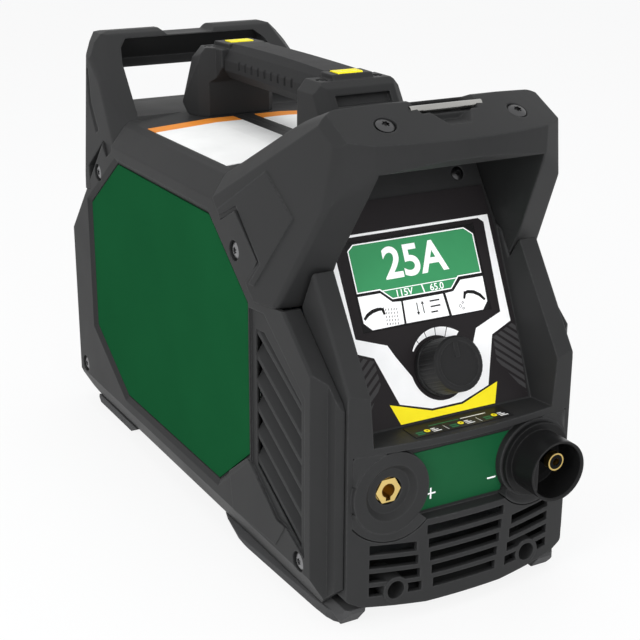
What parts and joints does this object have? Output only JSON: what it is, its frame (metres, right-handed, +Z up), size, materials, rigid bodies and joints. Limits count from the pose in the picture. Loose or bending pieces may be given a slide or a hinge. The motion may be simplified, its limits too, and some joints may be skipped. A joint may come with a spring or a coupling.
{
  "type": "plasma cutting power source",
  "caption": "Portable plasma cutting power source with a hooded sloping control face, push-turn knob, louvred casing, two front sockets and a carrying handle.",
  "frame": {"origin": "middle of the footprint, on the floor under the feet", "axes": "+Z up, the control face looks along -Y, +X to the right seen from the front"},
  "size_m": [0.1956, 0.4674, 0.3166],
  "materials": {
    "shell_plastic": "matt textured moulding",
    "green_sheet": "satin",
    "steel_rod": "polished",
    "sheet_steel": "satin",
    "black_rubber": "matt",
    "yellow_plastic": "satin",
    "overlay_film": "satin film",
    "display_window": "glossy",
    "circuit_board": "satin",
    "encoder_metal": "machined",
    "knob_plastic": "satin",
    "brass": "machined",
    "connector_black": "satin",
    "rocker_red": "satin",
    "sink_aluminium": "extruded",
    "ferrite": "matt",
    "copper_wire": "varnished",
    "capacitor_sleeve": "shrunk film",
    "terminal_plastic": "matt",
    "air_fittings": "satin",
    "air_hose": "satin",
    "label_white": "satin",
    "black_screws": "black oxide",
    "zinc_screws": "zinc"
  },
  "bodies": {
    "housing": {"left_casing": "shell_plastic", "right_casing": "shell_plastic", "front_hood": "shell_plastic", "rear_hoop": "shell_plastic", "front_fascia": "shell_plastic", "handle_body": "shell_plastic", "left_panel": "green_sheet", "right_panel": "green_sheet", "connector_label": "green_sheet", "hood_rod": "steel_rod", "base_tray": "sheet_steel", "rear_panel": "sheet_steel", "feet": "black_rubber", "handle_grip": "black_rubber", "handle_inserts": "yellow_plastic", "control_overlay": "overlay_film", "info_strip": "overlay_film", "display_glass": "display_window", "display_module": "circuit_board", "control_board": "circuit_board", "main_board": "circuit_board", "encoder_body": "encoder_metal", "work_socket": "brass", "torch_contact": "brass", "air_inlet": "brass", "torch_collar": "connector_black", "torch_insulator": "connector_black", "cord_gland": "connector_black", "switch_body": "connector_black", "fan_frame": "connector_black", "heatsinks": "sink_aluminium", "transformer_core": "ferrite", "transformer_winding": "copper_wire", "output_choke": "copper_wire", "bulk_capacitors": "capacitor_sleeve", "terminal_block": "terminal_plastic", "air_regulator": "air_fittings", "air_valve": "air_fittings", "air_line": "air_hose", "top_labels": "label_white", "hood_screws": "black_screws", "side_screws": "black_screws", "handle_screws": "black_screws", "fan_screws": "zinc_screws"},
    "push_sleeve": {"encoder_sleeve": "encoder_metal"},
    "knob": {"control_knob": "knob_plastic", "encoder_shaft": "encoder_metal"},
    "fan": {"fan_rotor": "connector_black"},
    "rocker": {"power_rocker": "rocker_red"}
  },
  "joints": [
    {"name": "knob_push", "type": "slide", "parent": "housing", "child": "push_sleeve", "axis": [0, 0.9037, -0.4281], "range_m": [0, 0.0012], "stiffness_N_per_m": 2500, "springref_m": -0.0006},
    {"name": "knob_turn", "type": "hinge", "parent": "push_sleeve", "child": "knob", "pos_m": [0, -0.17662, 0.14874], "axis": [0, -0.9037, 0.4281], "continuous": true},
    {"name": "fan_spin", "type": "hinge", "parent": "housing", "child": "fan", "pos_m": [-0.03, 0.2012, 0.118], "axis": [0, 1, 0], "continuous": true},
    {"name": "rocker_tilt", "type": "hinge", "parent": "housing", "child": "rocker", "pos_m": [0.0527, 0.215, 0.142], "axis": [1, 0, 0], "range_deg": [0, 20]}
  ]
}
